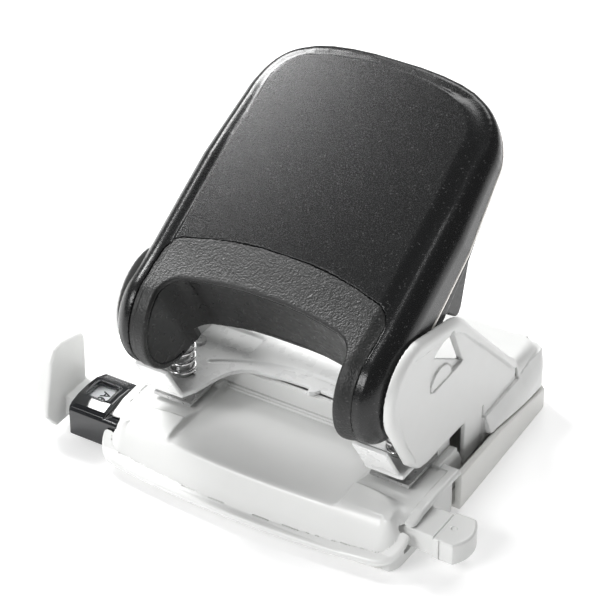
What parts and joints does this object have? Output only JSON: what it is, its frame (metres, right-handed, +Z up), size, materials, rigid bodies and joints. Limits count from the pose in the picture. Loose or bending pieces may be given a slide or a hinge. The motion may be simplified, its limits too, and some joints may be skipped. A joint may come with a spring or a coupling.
{
  "type": "two-hole paper punch",
  "caption": "Desktop two-hole paper punch with a wide black press handle, white base, sliding paper guide and a chip tray that opens at the bottom.",
  "frame": {"origin": "on the table, below the middle of the line between the two punch pins", "axes": "+X to the right along the paper edge, +Y towards the back of the punch, +Z up"},
  "size_m": [0.1516, 0.1125, 0.121],
  "materials": {
    "white_plastic": "satin moulded",
    "white_paint": "smooth powder coat",
    "strip_white": "printed strip",
    "black_gloss": "gloss",
    "clear_plastic": "clear",
    "black_sparkle": "fine grained",
    "grip_texture": "coarse grained",
    "black_satin": "satin",
    "bright_trim": "bright",
    "steel": "zinc plated",
    "spring_steel": "bright wire",
    "grey_rubber": "matte"
  },
  "bodies": {
    "tray": {"chip_tray": "white_plastic", "grip_pads": "grey_rubber", "tray_hinge_rod": "steel"},
    "frame": {"front_apron": "white_plastic", "left_die_plate": "steel", "right_die_plate": "steel", "paper_stop": "white_plastic", "guide_plate": "white_paint", "housing": "white_plastic", "cross_tie": "white_paint", "pin_guide_bushes": "steel", "pivot_pins": "steel", "window_block": "black_gloss", "window_lens": "clear_plastic", "rail_detent_spring": "steel", "frame_screws": "steel", "left_return_spring": "spring_steel", "right_return_spring": "spring_steel"},
    "guide": {"guide_rail": "white_plastic", "rail_end_tab": "white_plastic", "format_strip": "strip_white"},
    "handle": {"handle_top_shell": "black_sparkle", "grip_band": "grip_texture", "handle_trim": "bright_trim", "handle_lower_shell": "black_satin", "left_lever": "steel", "right_lever": "steel", "left_presser_pin": "steel", "right_presser_pin": "steel", "handle_screws": "steel"},
    "left_punch": {"left_punch_pin": "steel", "left_pin_collar": "steel"},
    "right_punch": {"right_punch_pin": "steel", "right_pin_collar": "steel"}
  },
  "joints": [
    {"name": "tray_opening", "type": "hinge", "parent": "tray", "child": "frame", "pos_m": [0, 0.075, 0.0065], "axis": [-1, 0, 0], "range_deg": [0, 45]},
    {"name": "handle_press", "type": "hinge", "parent": "frame", "child": "handle", "pos_m": [0, -0.012, 0.0574], "axis": [-1, 0, 0], "range_deg": [0, 35], "stiffness_Nm_per_rad": 0.35, "springref_deg": -40.11},
    {"name": "left_punch_stroke", "type": "slide", "parent": "frame", "child": "left_punch", "axis": [0, 0, -1], "range_m": [0, 0.0075], "deforming": ["left_return_spring"]},
    {"name": "right_punch_stroke", "type": "slide", "parent": "frame", "child": "right_punch", "axis": [0, 0, -1], "range_m": [0, 0.0075], "deforming": ["right_return_spring"]},
    {"name": "guide_slide", "type": "slide", "parent": "frame", "child": "guide", "axis": [-1, 0, 0], "range_m": [0, 0.091]}
  ],
  "couplings": [
    {"joint": "left_punch_stroke", "follows": "handle_press", "m_per_rad": 0.012},
    {"joint": "right_punch_stroke", "follows": "handle_press", "m_per_rad": 0.012}
  ]
}
